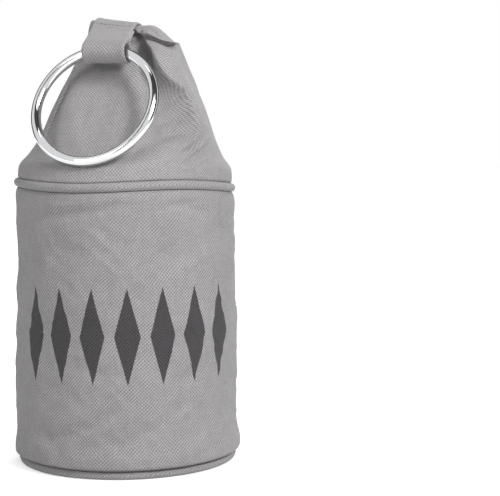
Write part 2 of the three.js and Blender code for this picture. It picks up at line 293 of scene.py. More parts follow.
def wrapped_cloth(name, places, weave, join):
    """Lays a flat grid of cloth round a shape and joins the edges that meet. places gives the
    corners row by row in millimetres, and weave their places in the weave."""
    columns, rows = len(places[0]) - 1, len(places) - 1
    bpy.ops.mesh.primitive_grid_add(x_subdivisions=columns, y_subdivisions=rows, size=1, calc_uvs=True)
    piece = name_new(name)
    mesh = piece.data
    flat = np.empty(len(mesh.vertices) * 3)
    mesh.vertices.foreach_get("co", flat)
    flat = flat.reshape(-1, 3)
    column = np.rint((flat[:, 0] + 0.5) * columns).astype(int)
    row = np.rint((flat[:, 1] + 0.5) * rows).astype(int)
    mesh.vertices.foreach_set("co", (np.array(places, float)[row, column] * MM).ravel())
    corners = np.empty(len(mesh.loops), dtype=int)
    mesh.loops.foreach_get("vertex_index", corners)
    mesh.uv_layers[0].name = "Cloth"
    spots = np.array(weave, float)[row, column] * MM
    mesh.uv_layers["Cloth"].data.foreach_set("uv", spots[corners].ravel())
    mesh.update()
    close_seams(piece, join)
    return piece


def close_seams(piece, join):
    """Joins the cloth's edges where they meet, and turns all faces outwards."""
    bpy.context.view_layer.objects.active = piece
    bpy.ops.object.mode_set(mode="EDIT")
    bpy.ops.mesh.select_all(action="SELECT")
    bpy.ops.mesh.remove_doubles(threshold=join * MM)
    bpy.ops.mesh.normals_make_consistent(inside=False)
    bpy.ops.object.mode_set(mode="OBJECT")
    bpy.ops.object.shade_smooth()


def settle(piece, held, pressure, slack, reach, bending=0.05):
    """A short cloth simulation: the filling presses the slack cloth out between its seams.

    held gives each vertex's hold from 0 to 1, and reach the furthest that a vertex may move."""
    scene = bpy.context.scene
    group = piece.vertex_groups.new(name="Held")
    for index, hold in enumerate(held):
        if hold > 0:
            group.add([index], hold, "REPLACE")
    before = [vertex.co.copy() for vertex in piece.data.vertices]
    bpy.ops.object.modifier_add(type="CLOTH")
    cloth = piece.modifiers[-1]
    springs = {
        "quality": 4, "mass": 0.05, "air_damping": 4, "tension_stiffness": 12, "compression_stiffness": 6,
        "shear_stiffness": 3, "bending_stiffness": bending, "use_pressure": True,
        "uniform_pressure_force": pressure, "shrink_min": -slack, "vertex_group_mass": group.name}
    for name, value in springs.items():
        setattr(cloth.settings, name, value)
    cloth.settings.effector_weights.gravity = 0
    cloth.collision_settings.use_collision = False
    cloth.collision_settings.use_self_collision = False
    cloth.point_cache.frame_start = 1
    cloth.point_cache.frame_end = SETTLE_FRAMES
    for step in range(1, SETTLE_FRAMES + 1):
        scene.frame_set(step)
    bpy.ops.object.modifier_apply(modifier=cloth.name)
    scene.frame_set(1)
    piece.vertex_groups.remove(piece.vertex_groups["Held"])
    for vertex, start, hold in zip(piece.data.vertices, before, held):
        move = vertex.co - start
        limit = reach * (1 - hold)
        if move.length > limit:
            move *= limit / move.length
        vertex.co = start + move


def path_lengths(rows):
    """How far each row of a wrapped cloth lies from the first, along the cloth."""
    total = [0.0]
    for before, after in zip(rows, rows[1:]):
        steps = [(Vector(b) - Vector(a)).length for a, b in zip(before, after)]
        total.append(total[-1] + sum(steps) / len(steps))
    return total


def finish_piece(piece, body, material, nodes=()):
    piece.data.materials.clear()
    piece.data.materials.append(material)
    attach(piece, body)
    if nodes:
        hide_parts(*nodes)


# Materials


def add_node(tree, kind, inputs=(), **settings):
    """A new node. inputs gives a value, or a socket to link, for an input's name or number."""
    node = tree.nodes.new(kind)
    for name, value in settings.items():
        setattr(node, name, value)
    set_inputs(tree, node, dict(inputs))
    return node


def set_inputs(tree, node, inputs):
    for name, value in inputs.items():
        if isinstance(value, bpy.types.NodeSocket):
            tree.links.new(value, node.inputs[name])
        else:
            node.inputs[name].default_value = value


def math_node(tree, operation, *values, clamp=False):
    inputs = dict(enumerate(values))
    return add_node(tree, "ShaderNodeMath", inputs, operation=operation, use_clamp=clamp).outputs[0]


def ramp(tree, value, low, high, low_out=0.0, high_out=1.0):
    inputs = {"Value": value, "From Min": low, "From Max": high, "To Min": low_out, "To Max": high_out}
    return add_node(tree, "ShaderNodeMapRange", inputs, interpolation_type="SMOOTHSTEP").outputs["Result"]


def noise_node(tree, place, scale, detail=2.0):
    return add_node(tree, "ShaderNodeTexNoise", {"Vector": place, "Scale": scale, "Detail": detail}).outputs


def mix_colours(tree, factor, first, second, blend="MIX"):
    inputs = {"Factor": factor, "A": first, "B": second}
    return add_node(tree, "ShaderNodeMix", inputs, data_type="RGBA", blend_type=blend).outputs["Result"]


def bump_normal(tree, height, strength, distance):
    inputs = {"Strength": strength, "Distance": distance, "Height": height}
    return add_node(tree, "ShaderNodeBump", inputs).outputs["Normal"]


def object_place(tree):
    return add_node(tree, "ShaderNodeTexCoord").outputs["Object"]


def across_and_up(tree, place):
    parts = add_node(tree, "ShaderNodeSeparateXYZ", {0: place})
    return parts.outputs["X"], parts.outputs["Y"]


def new_material(name, inputs):
    """A material, its node tree and its shader with these inputs."""
    material = bpy.data.materials.new(name)
    material.use_nodes = True
    tree = material.node_tree
    shader = tree.nodes["Principled BSDF"]
    set_inputs(tree, shader, inputs)
    return material, tree, shader


def new_group(name, inputs, outputs):
    """A node group that gives numbers. An input is a number where it has a value, else a vector."""
    group = bpy.data.node_groups.new(name, "ShaderNodeTree")
    for label, value in inputs.items():
        kind = "NodeSocketVector" if value is None else "NodeSocketFloat"
        socket = group.interface.new_socket(name=label, in_out="INPUT", socket_type=kind)
        if value is not None:
            socket.default_value = value
    for label in outputs:
        group.interface.new_socket(name=label, in_out="OUTPUT", socket_type="NodeSocketFloat")
    return group, group.nodes.new("NodeGroupInput").outputs, group.nodes.new("NodeGroupOutput")


def weave_group(name):
    """Plain weave: threads one over and one under, with slightly uneven paths and tones."""
    group, source, target = new_group(
        name, {"Cloth": None, "Pitch": 0.0009}, ("Height", "Float", "Thread Tone"))
    calc = partial(math_node, group)
    vector = partial(add_node, group, "ShaderNodeVectorMath")
    threads = {0: source["Cloth"], "Scale": calc("DIVIDE", 1.0, source["Pitch"])}
    place = scaled = vector(threads, operation="SCALE").outputs[0]
    # the threads wander a little, slowly and from cell to cell
    for scale, reach in ((0.045, 3.2), (0.7, 0.28)):
        wander = noise_node(group, scaled, scale, 1.0)["Color"]
        place = vector({0: wander, 1: (reach, reach, 0), 2: place}, operation="MULTIPLY_ADD").outputs[0]
    across, up = across_and_up(group, place)
    # warp on top where the product is positive, weft where it is negative
    waves = [calc("SINE", calc("MULTIPLY", way, math.pi)) for way in (across, up)]
    product = calc("MULTIPLY", *waves)
    pillow = calc("POWER", calc("ABSOLUTE", product), 0.6)
    # one slant of the weave stands out more than the other
    slant = calc("COSINE", calc("MULTIPLY", calc("SUBTRACT", across, up), math.pi))
    mixed = calc("ADD", calc("MULTIPLY", product, 0.78), calc("MULTIPLY", slant, 0.22))
    # each thread is a little lighter or darker for a few crossings at a time
    tones = []
    for way, length in ((up, across), (across, up)):
        part = calc("FLOOR", calc("MULTIPLY", length, 0.2))
        cell = add_node(group, "ShaderNodeCombineXYZ", {"X": calc("FLOOR", way), "Y": part}).outputs[0]
        tone = add_node(group, "ShaderNodeTexWhiteNoise", {"Vector": cell}, noise_dimensions="2D")
        tones.append(tone.outputs["Value"])
    warp_on_top = calc("GREATER_THAN", product, 0.0)
    tone = add_node(group, "ShaderNodeMix", {"Factor": warp_on_top, "A": tones[0], "B": tones[1]}).outputs[0]
    set_inputs(group, target, {
        "Height": pillow, "Float": calc("MULTIPLY_ADD", mixed, 0.5, 0.5), "Thread Tone": tone})
    return group


def wear_group(name):
    """Slow changes of tone over the cloth, and fine fluff on its surface."""
    group, source, target = new_group(name, {"Place": None}, ("Tone", "Fluff"))
    set_inputs(group, target, {
        "Tone": noise_node(group, source["Place"], 28.0, 3.0)["Fac"],
        "Fluff": noise_node(group, source["Place"], 2600.0)["Fac"]})
    return group


def lozenge_group(name):
    """A row of tall lozenges round the front, with a slightly ragged printed edge."""
    sizes = {"Middle Height": 0.074, "Half Height": 0.025, "Spacing": 0.0185,
             "Half Width": 0.0068, "Half Length": 0.0645}
    group, source, target = new_group(name, {"Cloth": None, "Place": None, **sizes}, ("Ink",))
    calc = partial(math_node, group)
    across, up = across_and_up(group, source["Cloth"])
    half = calc("MULTIPLY", source["Spacing"], 0.5)
    cell = calc("FLOORED_MODULO", calc("ADD", across, half), source["Spacing"])
    side = calc("ABSOLUTE", calc("SUBTRACT", cell, half))
    rise = calc("ABSOLUTE", calc("SUBTRACT", up, source["Middle Height"]))
    share = calc("ADD", calc("DIVIDE", side, source["Half Width"]),
                 calc("DIVIDE", rise, source["Half Height"]))
    ragged = calc("SUBTRACT", noise_node(group, source["Place"], 1500.0)["Fac"], 0.5)
    share = calc("ADD", share, calc("MULTIPLY", ragged, 0.09))
    inside = calc("LESS_THAN", calc("ABSOLUTE", across), source["Half Length"])
    set_inputs(group, target, {"Ink": calc("MULTIPLY", ramp(group, share, 1.03, 0.97), inside)})
    return group


GROUPS = {"Canvas Weave": weave_group, "Cloth Tone": wear_group, "Lozenge Print": lozenge_group}


def place_group(tree, name, inputs):
    """Adds a node group, which is made the first time, and gives its outputs."""
    group = bpy.data.node_groups.get(name) or GROUPS[name](name)
    return add_node(tree, "ShaderNodeGroup", inputs, node_tree=group).outputs


def canvas_material(name, tone, turn=0.0, printed=False):
    """Grey canvas whose weave follows the piece's own cloth map. tone lightens or darkens it."""
    cloth = bpy.context.scene.door_stop_cloth
    material, tree, shader = new_material(name, {
        "Roughness": 0.9, "Sheen Weight": 0.12, "Sheen Roughness": 0.5, "Specular IOR Level": 0.25})
    calc = partial(math_node, tree)
    uv = add_node(tree, "ShaderNodeUVMap", uv_map="Cloth").outputs["UV"]
    turned = add_node(tree, "ShaderNodeMapping", {"Vector": uv, "Rotation": (0, 0, turn)}).outputs["Vector"]
    place = object_place(tree)
    weave = place_group(tree, "Canvas Weave", {"Cloth": turned, "Pitch": cloth.thread_pitch})
    wear = place_group(tree, "Cloth Tone", {"Place": place})
    # the threads run together where the cloth is seen at a slant
    slant = add_node(tree, "ShaderNodeLayerWeight", {"Blend": 0.5}).outputs["Facing"]
    contrast = ramp(tree, slant, 0.25, 0.7, 0.84, 0.3)
    shade = calc("MULTIPLY_ADD", calc("SUBTRACT", weave["Float"], 0.5), contrast, 1.02)
    thread = calc("MULTIPLY_ADD", weave["Thread Tone"], 0.16, 0.92)
    slow = ramp(tree, wear["Tone"], 0.3, 0.7, 0.965, 1.035)
    fluff = ramp(tree, wear["Fluff"], 0.25, 0.75, 0.90, 1.10)
    light = calc("MULTIPLY", calc("MULTIPLY", shade, thread), calc("MULTIPLY", slow, fluff))
    colour = (*(channel * tone for channel in cloth.colour), 1)
    if printed:
        ink = place_group(tree, "Lozenge Print", {"Cloth": uv, "Place": place})["Ink"]
        # the ink is thinner in the gaps between threads
        worn = calc("MULTIPLY", ink, ramp(tree, weave["Height"], 0.0, 0.5, 0.9, 1.0))
        colour = mix_colours(tree, worn, colour, (*cloth.print_colour, 1))
    set_inputs(tree, shader, {
        "Base Color": mix_colours(tree, 1, colour, light, "MULTIPLY"),
        "Normal": bump_normal(tree, weave["Height"], 0.6, 0.0002)})
    return material


def thread_material():
    material, tree, shader = new_material("Sewing Thread", {"Roughness": 0.75, "Sheen Weight": 0.2})
    fluff = place_group(tree, "Cloth Tone", {"Place": object_place(tree)})["Fluff"]
    set_inputs(tree, shader, {
        "Base Color": mix_colours(tree, fluff, (0.13, 0.13, 0.135, 1), (0.24, 0.24, 0.245, 1)),
        "Normal": bump_normal(tree, fluff, 1.0, 0.0001)})
    return material


def chrome_material():
    ring = bpy.context.scene.door_stop_ring
    material, tree, shader = new_material("Bright Chrome", {"Base Color": (*ring.colour, 1), "Metallic": 1})
    place = object_place(tree)
    smudge = noise_node(tree, place, 90.0, 4.0)["Fac"]
    set_inputs(tree, shader, {
        "Roughness": ramp(tree, smudge, 0.45, 0.75, ring.roughness, ring.roughness + 0.07),
        "Normal": bump_normal(tree, noise_node(tree, place, 700.0)["Fac"], 0.03, 0.0002)})
    return material


# Pieces


def body_radius(height, angle):
    share = within(height / SEAM_HEIGHT)
    straight = BODY_RADIUS + (TOP_RADIUS - BODY_RADIUS) * share ** 2
    foot = FOOT_BULGE * hump(height - FOOT_BULGE_HEIGHT, FOOT_BULGE_SPREAD)
    middle = math.sin(math.pi * share)
    lumps = math.sin(2 * angle + height / 31 + 0.8) + 0.8 * math.sin(3 * angle - height / 24)
    return straight + foot + BODY_LUMP * middle * lumps


def gathers(angle, seed):
    """Uneven little gathers along a seam, from -1 to 1."""
    first = noise.noise(Vector((math.cos(angle) * 9, math.sin(angle) * 9, seed)))
    second = noise.noise(Vector((math.cos(angle) * 22, math.sin(angle) * 22, seed + 4)))
    return first + 0.6 * second


def cord_arc(line, height, start, end, steps, cord=CORD_RADIUS):
    """Places on the cloth where it lies against a cord, as radius and height."""
    reach = cord + CORD_EASE
    angles = [math.radians(start + (end - start) * step / steps) for step in range(steps + 1)]
    return [(line + reach * math.cos(turn), height + reach * math.sin(turn)) for turn in angles]


def beside_line(places, across, height):
    """For each spot of the cloth, its distance from a line of places, how far along the line it
    lies in steps, and its side: 1 to the right of a line that runs down."""
    best = np.full(across.shape, np.inf)
    step_at = np.zeros(across.shape)
    side = np.ones(across.shape)
    for step, (first, second) in enumerate(zip(places, places[1:])):
        run = (second[0] - first[0], second[1] - first[1])
        share = ((across - first[0]) * run[0] + (height - first[1]) * run[1]) / (run[0] ** 2 + run[1] ** 2)
        inside = np.clip(share, 0, 1)
        away = np.hypot(across - first[0] - inside * run[0], height - first[1] - inside * run[1])
        cross = run[0] * (height - first[1]) - run[1] * (across - first[0])
        nearer = away < best
        best = np.where(nearer, away, best)
        step_at = np.where(nearer, step + inside, step_at)
        side = np.where(nearer, np.where(cross >= 0, 1, -1), side)
    return best, step_at, side


def folds_at(folds, across, height):
    """How far a list of folds lifts the cloth at each spot, in millimetres."""
    relief = np.zeros(across.shape)
    for places, rise, width in folds:
        away, step, side = beside_line(places, across, height)
        last = len(places) - 1
        ends = np.clip(np.minimum(step, last - step) / min(1.0, last / 2), 0.0, 1.0)
        ends = 0.15 + 0.85 * ends * ends * (3 - 2 * ends)
        relief += rise * ends * np.exp(-((away / width) ** 2))
    return relief


# Folds of the sleeve: places (across from the front's middle, height), rise and half width
SLEEVE_FOLDS = (
    # drawn in under the upper seam
    (((-56, 132), (-40, 135), (-23, 137.4), (-8, 139.4), (6, 141)), -1.27, 2.6),
    (((-52, 140), (-34, 142.4), (-14, 144)), 0.85, 2.4),
    (((16, 137.6), (25, 139.6), (33, 139.6), (42, 137), (52, 134)), -1.19, 2.4),
    (((30, 145), (38, 142.4), (45, 141.6)), -1.02, 1.6),
    (((-66, 138), (-60, 128), (-57, 116)), -1.19, 2.6),
    (((58, 142), (62, 130), (66, 121)), -1.36, 2.4),
    # slack drags across the front
    (((-46, 108), (-30, 116), (-10, 122)), -0.59, 4.5),
    (((-6, 106), (14, 112), (34, 124)), -0.68, 5.0),
    (((22, 100), (38, 110), (50, 124)), 0.68, 4.0),
    (((-36, 128), (-16, 118), (-4, 104)), 0.51, 5.0),
    # drawn in over the foot seam
    (((-50, 17), (-32, 22), (-14, 30), (2, 39)), -1.02, 3.6),
    (((-24, 12), (-4, 18), (14, 27), (30, 38)), -0.85, 3.6),
    (((-44, 26), (-28, 32), (-12, 40)), 0.68, 3.6),
    (((8, 12), (24, 18), (42, 29)), -0.68, 3.2),
    (((34, 10), (48, 12), (60, 17)), -0.94, 2.0),
    (((-62, 36), (-52, 24), (-40, 14)), -1.02, 3.0),
    (((52, 44), (60, 34), (70, 28)), -0.77, 3.0),
    # behind
    (((100, 140), (84, 128), (78, 110)), -1.02, 4.0),
    (((150, 140), (160, 124), (178, 112)), -0.85, 4.0),
    (((-110, 138), (-124, 124), (-128, 104)), -1.02, 4.0),
    (((120, 14), (140, 26), (150, 44)), -0.85, 4.0),
    (((-150, 14), (-132, 24), (-120, 42)), -0.85, 4.0),
)


class DOORSTOP_OT_sleeve(bpy.types.Operator):
    """Filled canvas sleeve, from the foot seam to the upper seam"""
    bl_idname = "doorstop.sleeve"
    bl_label = "Filled Sleeve"

    def execute(self, context):
        settings = context.scene.door_stop_cloth
        # from the middle of the bottom out over the base panel, round the foot cord and up
        foot = [(0.0, 1.6), (FOOT_CORD_LINE - 2.6, 1.6)]
        foot += cord_arc(FOOT_CORD_LINE, FOOT_CORD_HEIGHT, 178, 78, 8)
        foot += [(FOOT_CORD_LINE + 1.4, 4.75), (FOOT_CORD_LINE + 2.3, 5.15)]
        rows = [round_row(radius, height) for radius, height in foot]
        side_top = SEAM_HEIGHT - BODY_ROLL
        for row in range(SIDE_ROWS + 1):
            rows.append(self.side_row(SIDE_BOTTOM + (side_top - SIDE_BOTTOM) * row / SIDE_ROWS, settings))
        for row in range(1, ROLL_ROWS + 1):
            rows.append([self.roll(turn_at(column), row / ROLL_ROWS, side_top, settings)
                         for column in range(COLUMNS + 1)])
        for radius, height in cord_arc(TOP_CORD_LINE, 0.0, -88, -178, 6, TOP_CORD_RADIUS)[1:]:
            rows.append(round_row(radius, SEAM_HEIGHT + height, follow=1.0))
        rows.append([(0.0, 0.0, SEAM_HEIGHT - 0.2)] * (COLUMNS + 1))
        lengths = path_lengths(rows)
        offset = lengths[len(foot)] - SIDE_BOTTOM
        weave = [[(across, total - offset) for across in lengths_round(BODY_RADIUS)] for total in lengths]
        piece = wrapped_cloth("canvas_sleeve", rows, weave, SEAM_JOIN)
        held = [1 - smooth((vertex.co.z / MM - 5) / 5) * smooth((SEAM_HEIGHT - 5 - vertex.co.z / MM) / 5)
                for vertex in piece.data.vertices]
        settle(piece, held, pressure=1.2, slack=0.005, reach=0.0008)
        finish_piece(piece, "bag", canvas_material("Canvas Sleeve", 0.965, printed=True),
                     nodes=["filled_body"])
        return {"FINISHED"}

    @staticmethod
    def slackness(angle, height, settings):
        """Soft lumps, drag lines and gathers of the filled cloth, in millimetres outwards."""
        place = around(angle, BODY_RADIUS, height)
        slack = settings.slack / MM
        lumps = soft_layers(place, SLEEVE_LUMPS)
        across = angle * BODY_RADIUS
        falling = ((across + height) * 0.35, (across - height), 0)
        rising = ((across - height) * 0.35, (across + height), 40)
        drags = -abs(soft_noise(falling, 15, 3)) - abs(soft_noise(rising, 13, 7))
        drags *= smooth((math.pi - abs(angle - 1.5 * math.pi)) / 0.4)
        fade = smooth((height - 4) / 14) * smooth((SEAM_HEIGHT - 4 - height) / 14)
        pucker = settings.pucker / MM
        near_foot = hump(height - 6, 9) * gathers(angle, 2.5)
        near_top = hump(height - SEAM_HEIGHT + 7, 8) * gathers(angle, 8.5)
        return slack * fade * (lumps + drags) + pucker * (near_foot + near_top)

    def side_row(self, height, settings):
        """One row of the sleeve's side, from the back round by the left."""
        across = lengths_round(BODY_RADIUS)
        folds = folds_at(SLEEVE_FOLDS, across, np.full(across.shape, height))
        row = []
        for column, fold in enumerate(folds):
            angle = turn_at(column)
            lift = seam_wander(angle) * (height / SEAM_HEIGHT) ** 3
            radius = body_radius(height, angle) + self.slackness(angle, height, settings) + fold
            row.append(around(angle, radius, height + lift))
        return row

    def roll(self, angle, share, side_top, settings):
        turn = share * math.pi / 2
        bottom = SEAM_HEIGHT - TOP_CORD_RADIUS - CORD_EASE
        height = side_top + (bottom - side_top) * math.sin(turn) ** 0.8
        radius = body_radius(side_top, angle) + self.slackness(angle, height, settings)
        radius += (TOP_CORD_LINE - radius) * (1 - math.cos(turn)) ** 0.9
        start = seam_wander(angle) * (side_top / SEAM_HEIGHT) ** 3
        lift = start + (seam_wander(angle) - start) * share
        return around(angle, radius, height + lift)


class DOORSTOP_OT_base(bpy.types.Operator):
    """Round canvas bottom, held in the foot seam"""
    bl_idname = "doorstop.base"
    bl_label = "Base Panel"

    def execute(self, context):
        edge = FOOT_CORD_LINE - CORD_RADIUS - GAP
        bpy.ops.mesh.primitive_circle_add(vertices=144, radius=edge * MM, fill_type="NGON", calc_uvs=True)
        piece = name_new("base_cloth")
        bpy.ops.object.mode_set(mode="EDIT")
        bpy.ops.mesh.select_all(action="SELECT")
        for inset in BASE_INSETS:
            bpy.ops.mesh.inset(thickness=inset * MM)
        bpy.ops.mesh.extrude_region_move()
        bpy.ops.mesh.select_all(action="SELECT")
        bpy.ops.object.mode_set(mode="OBJECT")
        for vertex in piece.data.vertices:
            radius = vertex.co.xy.length / MM
            rise = BASE_EDGE_RISE * smooth((radius - edge + BASE_EDGE_WIDTH) / BASE_EDGE_WIDTH)
            waves = BASE_WAVE * (1 + soft_noise(vertex.co / MM, 9, 6)) * smooth((edge - radius) / 4)
            vertex.co.z = (rise + waves) * MM
        solid = piece.modifiers.new("Cloth thickness", "SOLIDIFY")
        solid.thickness = BASE_THICKNESS * MM
        solid.offset = 1
        bpy.ops.object.modifier_apply(modifier=solid.name)
        mesh = piece.data
        mesh.uv_layers[0].name = "Cloth"
        spots = [mesh.vertices[corner.vertex_index].co for corner in mesh.loops]
        mesh.uv_layers["Cloth"].data.foreach_set("uv", [part for spot in spots for part in (spot.x, spot.y)])
        close_seams(piece, FLAT_JOIN)
        finish_piece(piece, "bag", canvas_material("Canvas Base", 0.97), nodes=["base_panel"])
        return {"FINISHED"}


class DOORSTOP_OT_cords(bpy.types.Operator):
    """Corded piping in the two seams: a strip of canvas wrapped round a cord"""
    bl_idname = "doorstop.cords"
    bl_label = "Corded Piping"

    def execute(self, context):
        material = canvas_material("Canvas Piping", 0.98, turn=math.radians(12))
        for name, node, place, follow, seed in (
                ("lower_cord", "lower_piping", (FOOT_CORD_LINE, FOOT_CORD_HEIGHT, CORD_RADIUS), 0.0, 1.0),
                ("upper_cord", "upper_piping", (TOP_CORD_LINE, SEAM_HEIGHT, TOP_CORD_RADIUS), 1.0, 5.0)):
            self.cord(name, node, place, follow, seed, material)
        return {"FINISHED"}

    @staticmethod
    def cord(name, node, place, follow, seed, material):
        line, level, radius = place
        rows = []
        weave = []
        across = lengths_round(line)
        for side in range(CORD_SIDES + 1):
            turn = 2 * math.pi * side / CORD_SIDES
            ring = []
            for column in range(COLUMNS + 1):
                angle = turn_at(column)
                thick = radius + CORD_GATHER * gathers(angle, seed) * max(0.0, math.cos(turn))
                height = level + follow * seam_wander(angle) + thick * math.sin(turn)
                ring.append(around(angle, line + thick * math.cos(turn), height))
            rows.append(ring)
            weave.append([(spot - across[0], turn * radius) for spot in across])
        piece = wrapped_cloth(name, rows, weave, FINE_JOIN)
        finish_piece(piece, "bag", material, nodes=[node])


def hood_section(height):
    share = height / CREST_HEIGHT
    puff = PUFF * hump(height - PUFF_HEIGHT, PUFF_SPREAD)
    return {
        "width": HOOD_FOOT_RADIUS + (CREST_HALF_WIDTH - HOOD_FOOT_RADIUS) * share + puff,
        "depth": HOOD_FOOT_RADIUS + (CREST_HALF_DEPTH - HOOD_FOOT_RADIUS) * share + puff,
        "shift": RIDGE_SHIFT * max(0.0, share) ** 1.2,
        "square": 2 + (CREST_SQUARENESS - 2) * smooth((share - 0.3) / 0.7),
    }


def ridge_drop(along, height):
    share = within((height - CREST_HEIGHT) / RIDGE_RISE)
    from_left = along - (RIDGE_SHIFT - RIDGE_HALF_WIDTH)
    swell = RIDGE_SWELL * hump(along - RIDGE_SWELL_ALONG, RIDGE_SWELL_SPREAD)
    return share * (RIDGE_SLOPE * from_left + RIDGE_FALL * max(0.0, along - RIDGE_FALL_START) ** 2 - swell)


# Hollows in the hood's front: place along the ridge, height over the seam, depth, radius
HOLLOWS = ((-3, 46, 2.2, 18), (2, 24, 1.3, 13), (-6, 63, 1.4, 9))

# The long fold from the pinch down to the right: a crest, from which the cloth falls into a
# hollow on its left. Each place is across from the hood's middle and height over the seam, then
# the hollow's depth and how far from the crest it is deepest.
CREST_FOLD = ((9.5, 80, 5, 3.4), (13.4, 75.7, 10.5, 4.4), (17.2, 72, 13.5, 5), (22.4, 64.5, 14, 5.6),
              (26.6, 59.6, 13, 6.6), (31, 56, 12, 9), (36.1, 53.3, 12.5, 12), (41.8, 50.3, 13.5, 14),
              (46.9, 45.5, 13.5, 15), (50.8, 39.2, 12.5, 14), (55.4, 33.4, 9.5, 12), (58, 28, 5.5, 9),
              (58.5, 23, 0, 6))
HOLLOW_END = 7.5
# No fold reaches further in than this share of the half depth
DEEPEST = 0.95
CREST_BULGE = 2.2
CREST_BULGE_WIDTH = 6.0
CREST_BULGE_LEFT = 1.6

# Other folds: places (across, height over the seam), how far the cloth stands out, and half width
FOLDS = (
    # the pleat under the right half of the ridge: its dark fold, its lip, and the pinch beside the tab
    (((7.5, 78.6), (11.3, 79), (14.5, 78.4), (18.9, 76.9), (23.5, 75.2), (28.2, 74.2), (34, 74.4)),
     -5.0, 1.9),
    (((8, 80.8), (10.2, 82.1), (12.8, 83.1), (16.5, 82), (20.7, 79.9), (27.8, 77.6), (32.5, 76.6)),
     2.4, 1.3),
    (((7, 86), (8.6, 81), (9.4, 76)), -3.6, 1.7),
    (((27, 70), (34, 62.4), (41.5, 54), (50, 44.5), (58.5, 34), (67, 23.5)), 1.0, 3.0),
    (((12.5, 88), (16.5, 84.5), (19.5, 80.5)), -0.9, 1.2),
    # creases that fan out at the lower right
    (((46, 10.5), (53, 15.4), (63, 21.5), (70, 27)), 1.84, 1.7),
    (((43, 14.5), (50, 20.5), (58, 27.5)), 1.20, 1.9),
    (((49, 14.8), (56, 19.8), (64, 26)), -1.44, 1.3),
    (((54, 8.5), (64, 12.6), (76, 17.6)), 1.28, 1.6),
    (((50, 9.2), (60, 12.4), (70, 17)), -1.12, 1.2),
    (((30, 12), (40, 17), (47, 24)), 0.80, 2.4),
    # the sewn fold beside the left edge
    (((-16.5, 86), (-22, 72), (-26, 61.4), (-29.2, 50.6), (-32.7, 41), (-36, 30), (-38.5, 20)), -1.20, 0.9),
    (((-18.6, 86), (-24.2, 72), (-28.2, 61.4), (-31.4, 50.6), (-34.9, 41), (-38.2, 30), (-41, 20)),
     0.72, 1.3),
    # soft drags in the middle and at the left
    (((12, 58), (15, 46), (15.5, 34), (12, 22)), -1.44, 4.5),
    (((22, 33), (32, 31.5), (42, 33.5), (50, 36)), 1.5, 2.6),
    (((-20, 40), (-12, 26), (2, 16)), 0.80, 4.0),
    (((-44, 12), (-39, 24), (-36, 34)), -0.96, 2.2),
    (((-52, 9), (-47, 17), (-43, 24)), 0.80, 1.8),
    # behind, the cloth is drawn up towards the ridge
    (((-62, 40), (-78, 30), (-92, 16)), -1.1, 3.4),
    (((84, 18), (74, 34), (60, 52)), -1.2, 3.2),
    (((110, 14), (92, 30), (76, 44)), 0.8, 3.0),
)


def fold_relief(across, height):
    """How far the hood's cloth stands out of its plain shape, in millimetres."""
    away, step, side = beside_line([place[:2] for place in CREST_FOLD], across, height)
    steps = range(len(CREST_FOLD))
    depth = np.interp(step, steps, [place[2] for place in CREST_FOLD])
    width = np.interp(step, steps, [place[3] for place in CREST_FOLD])
    falling = np.minimum(away / width, 1.0)
    past = np.maximum(away - width, 0.0)
    hollow = -depth * np.sin(falling * math.pi / 2) ** 1.15 * np.exp(-((past / HOLLOW_END) ** 2))
    bulge = CREST_BULGE * (depth / max(place[2] for place in CREST_FOLD))
    right = bulge * np.exp(-((away / CREST_BULGE_WIDTH) ** 2))
    left = bulge * np.exp(-((away / CREST_BULGE_LEFT) ** 2)) + hollow
    return np.where(side > 0, right, left) + folds_at(FOLDS, across, height)


def section_outline(section):
    """The hood's outline at one height, evenly spaced along the cloth from the back round by the
    left: places along and across the ridge, and how far each lies from the front's middle."""
    power = 2 / section["square"]
    places = []
    for step in range(OUTLINE_STEPS + 1):
        angle = turn_at(step, OUTLINE_STEPS)
        cosine, sine = math.cos(angle), math.sin(angle)
        places.append((section["shift"] + section["width"] * math.copysign(abs(cosine) ** power, cosine),
                       section["depth"] * math.copysign(abs(sine) ** power, sine)))
    places = np.array(places)
    lengths = np.concatenate([[0], np.cumsum(np.hypot(*np.diff(places, axis=0).T))])
    wanted = np.linspace(0, lengths[-1], COLUMNS + 1)
    along = np.interp(wanted, lengths, places[:, 0])
    back = np.interp(wanted, lengths, places[:, 1])
    return along, back, wanted - lengths[-1] / 2


